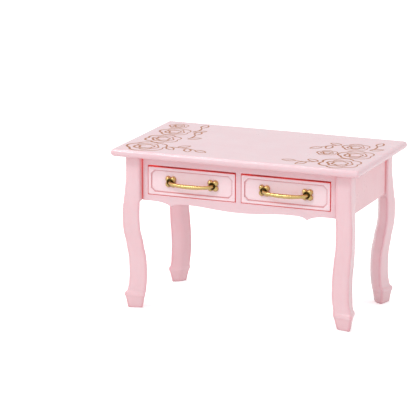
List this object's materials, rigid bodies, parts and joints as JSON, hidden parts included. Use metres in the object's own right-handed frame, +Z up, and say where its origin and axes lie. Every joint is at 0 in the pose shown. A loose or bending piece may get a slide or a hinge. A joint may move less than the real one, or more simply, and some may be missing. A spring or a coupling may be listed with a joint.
{
  "type": "dolls house dressing table",
  "caption": "Miniature dressing table with cabriole legs, a shaped front apron and drawers that slide out on brass bow handles.",
  "frame": {"origin": "on the floor under the middle of the table top", "axes": "+Z up, +X along the table's length to the right as seen from the front, the drawers open towards -Y"},
  "size_m": [0.08, 0.0456, 0.0506],
  "materials": {
    "table_plastic": "satin moulded pink plastic",
    "drawer_plastic": "satin moulded pink plastic",
    "handle_brass": "polished, darkened in the hollows"
  },
  "bodies": {
    "table": {"tabletop": "table_plastic", "front_frame": "table_plastic", "back_panel": "table_plastic", "case_floor": "table_plastic", "centre_divider": "table_plastic", "left_side_panel": "table_plastic", "right_side_panel": "table_plastic", "left_drawer_guide": "table_plastic", "right_drawer_guide": "table_plastic", "front_left_leg": "table_plastic", "front_right_leg": "table_plastic", "back_left_leg": "table_plastic", "back_right_leg": "table_plastic"},
    "left_drawer": {"left_drawer_front": "drawer_plastic", "left_drawer_tray": "drawer_plastic", "left_drawer_bow_handle": "handle_brass", "left_drawer_outer_rosette": "handle_brass", "left_drawer_inner_rosette": "handle_brass"},
    "right_drawer": {"right_drawer_front": "drawer_plastic", "right_drawer_tray": "drawer_plastic", "right_drawer_bow_handle": "handle_brass", "right_drawer_outer_rosette": "handle_brass", "right_drawer_inner_rosette": "handle_brass"}
  },
  "joints": [
    {"name": "left_drawer_slide", "type": "slide", "parent": "table", "child": "left_drawer", "axis": [0, -1, 0], "range_m": [0, 0.022]},
    {"name": "right_drawer_slide", "type": "slide", "parent": "table", "child": "right_drawer", "axis": [0, -1, 0], "range_m": [0, 0.022]}
  ]
}
